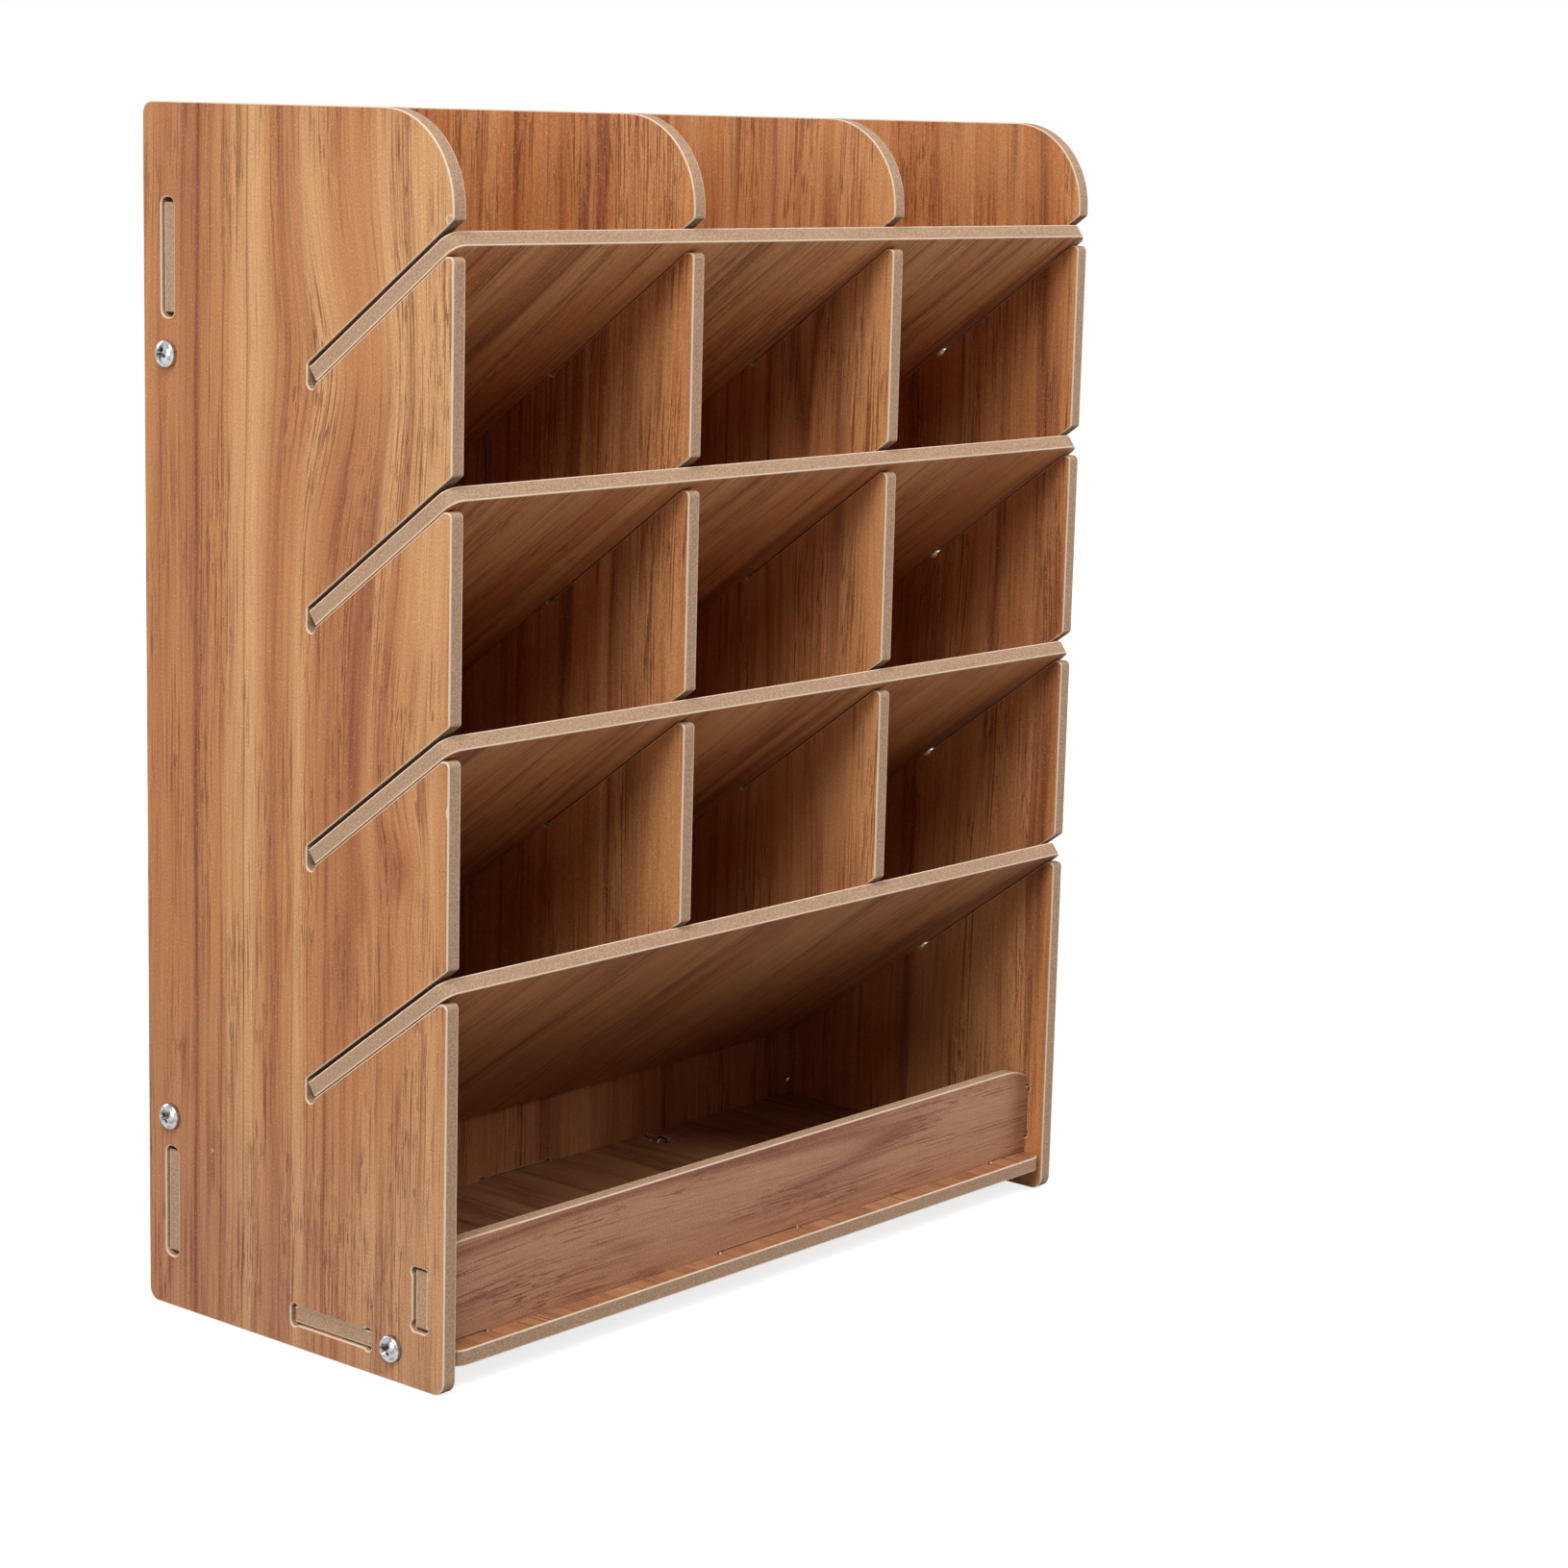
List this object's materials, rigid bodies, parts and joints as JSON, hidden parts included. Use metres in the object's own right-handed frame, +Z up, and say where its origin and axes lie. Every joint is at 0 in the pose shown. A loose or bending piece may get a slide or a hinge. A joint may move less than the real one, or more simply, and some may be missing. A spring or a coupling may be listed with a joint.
{
  "type": "desk organizer",
  "caption": "Upright wooden desk organizer of slotted boards: sloping shelves divided into pockets above a low tray with a front lip.",
  "frame": {"origin": "on the ground under the middle of the whole object", "axes": "+X to the right seen from the front, the front faces -Y, +Z up"},
  "size_m": [0.2764, 0.1192, 0.335],
  "materials": {
    "board": "satin wood-grain laminate on fibreboard, bare cut edges",
    "screw": "bright zinc plating",
    "nut": "bright zinc plating"
  },
  "bodies": {
    "case": {"left_side_panel": "board", "right_side_panel": "board", "back_panel": "board", "left_divider": "board", "right_divider": "board", "bottom_panel": "board", "front_lip": "board", "left_upper_screw": "screw", "left_lower_screw": "screw", "left_front_screw": "screw", "left_rear_screw": "screw", "right_upper_screw": "screw", "right_lower_screw": "screw", "right_front_screw": "screw", "right_rear_screw": "screw", "left_upper_nut": "nut", "left_lower_nut": "nut", "left_front_nut": "nut", "left_rear_nut": "nut", "right_upper_nut": "nut", "right_lower_nut": "nut", "right_front_nut": "nut", "right_rear_nut": "nut"},
    "tier_1": {"shelf_1": "board"},
    "tier_2": {"shelf_2": "board"},
    "tier_3": {"shelf_3": "board"},
    "tier_4": {"shelf_4": "board"}
  },
  "joints": [
    {"name": "shelf_1_slide", "type": "slide", "parent": "case", "child": "tier_1", "axis": [0, -0.809, 0.5878], "range_m": [0, 0.06]},
    {"name": "shelf_2_slide", "type": "slide", "parent": "case", "child": "tier_2", "axis": [0, -0.809, 0.5878], "range_m": [0, 0.06]},
    {"name": "shelf_3_slide", "type": "slide", "parent": "case", "child": "tier_3", "axis": [0, -0.809, 0.5878], "range_m": [0, 0.06]},
    {"name": "shelf_4_slide", "type": "slide", "parent": "case", "child": "tier_4", "axis": [0, -0.809, 0.5878], "range_m": [0, 0.06]}
  ]
}
